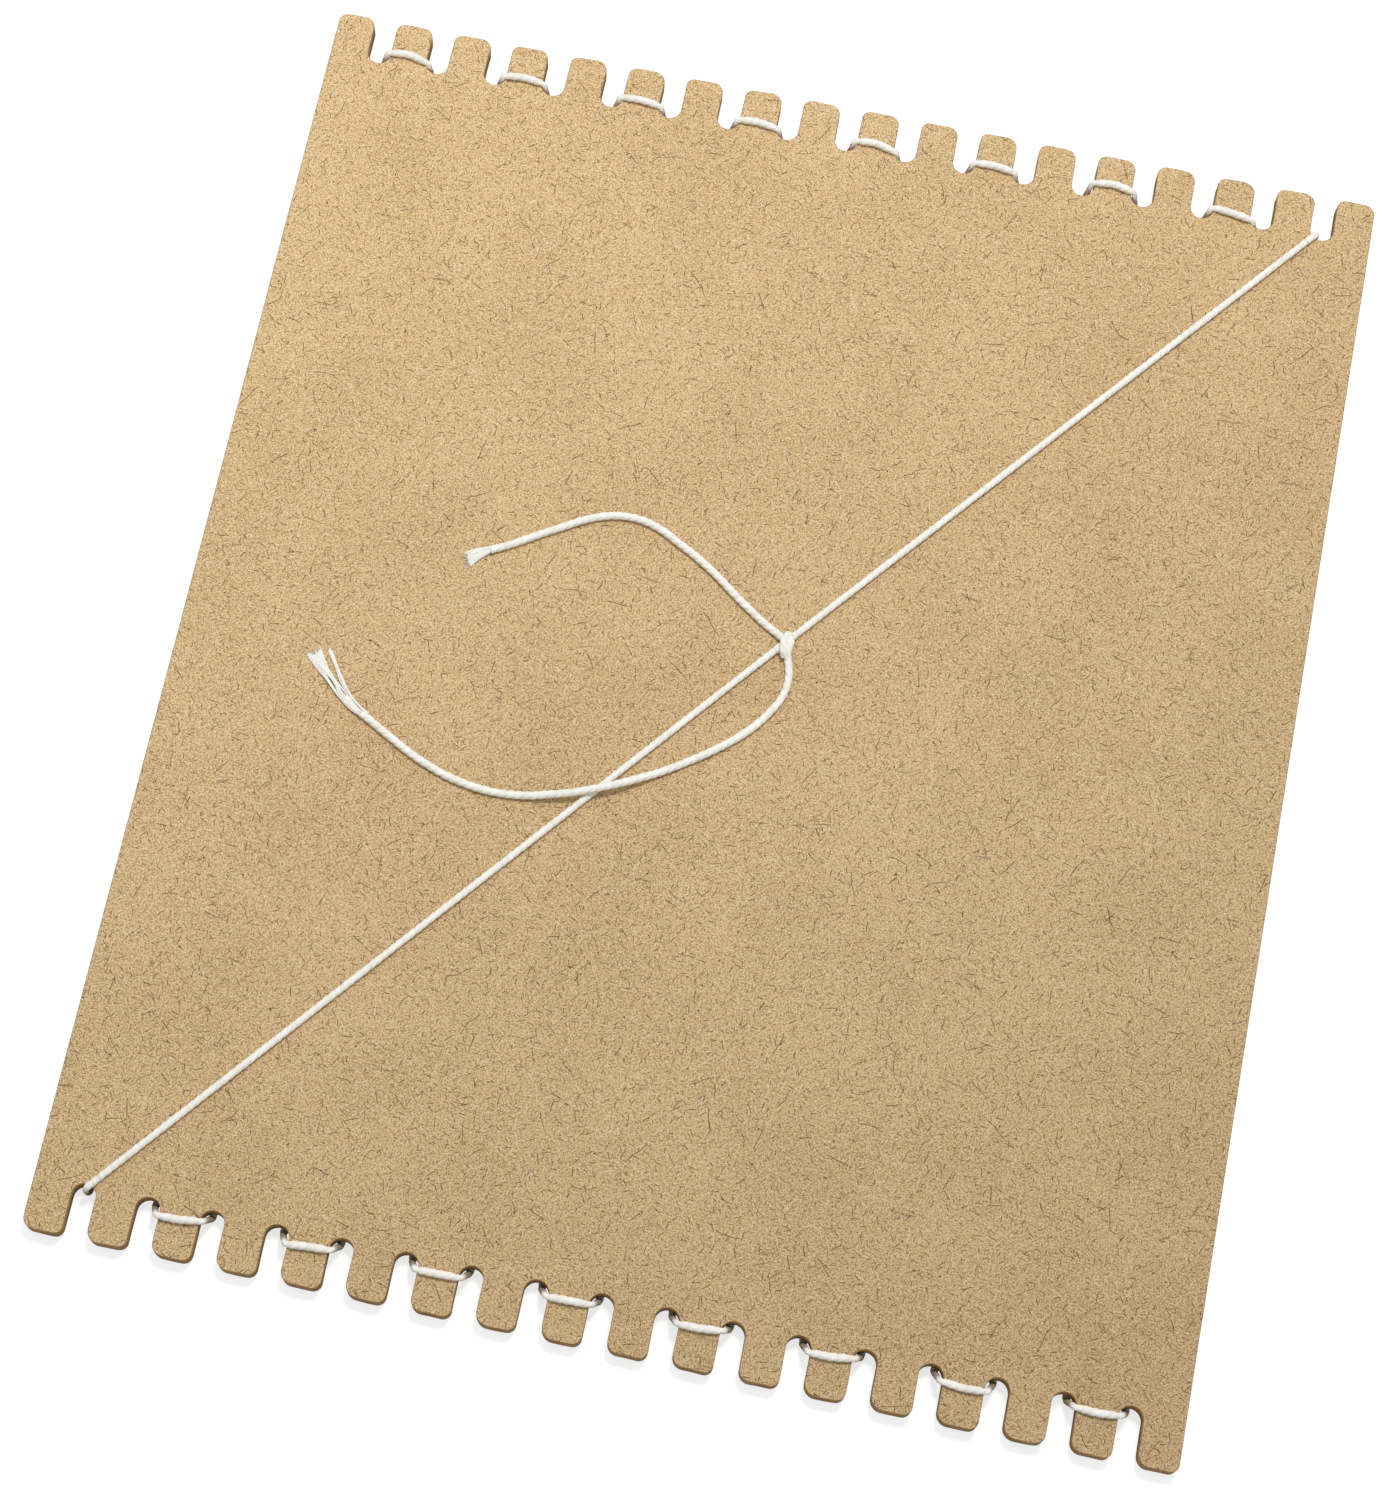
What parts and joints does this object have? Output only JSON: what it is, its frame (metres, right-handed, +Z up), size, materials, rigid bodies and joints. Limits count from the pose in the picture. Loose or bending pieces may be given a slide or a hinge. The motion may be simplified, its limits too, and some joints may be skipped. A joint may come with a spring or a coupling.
{
  "type": "potholder loom",
  "caption": "Flat notched-board loom for weaving potholders, warped with cotton cord through the slots of two edges and tied on the back.",
  "frame": {"origin": "middle of the board in plan, at the height of the surface that the front warp strands rest on", "axes": "+Z up, out of the loom's back; +X along the toothed edges; +Y along the warp strands, towards the edge where the winding ends"},
  "size_m": [0.1938, 0.233, 0.0075],
  "materials": {
    "board": "raw pressed wood fibre, matt, with darker cut edges",
    "warp_cord": "twisted undyed cotton, matt"
  },
  "bodies": {
    "root": {"loom_board": "board", "warp_winding": "warp_cord", "tie_strand_lower": "warp_cord", "tie_strand_upper": "warp_cord", "warp_knot": "warp_cord", "tail_short": "warp_cord", "tail_long": "warp_cord", "fray_short": "warp_cord", "fray_long": "warp_cord"}
  },
  "joints": []
}
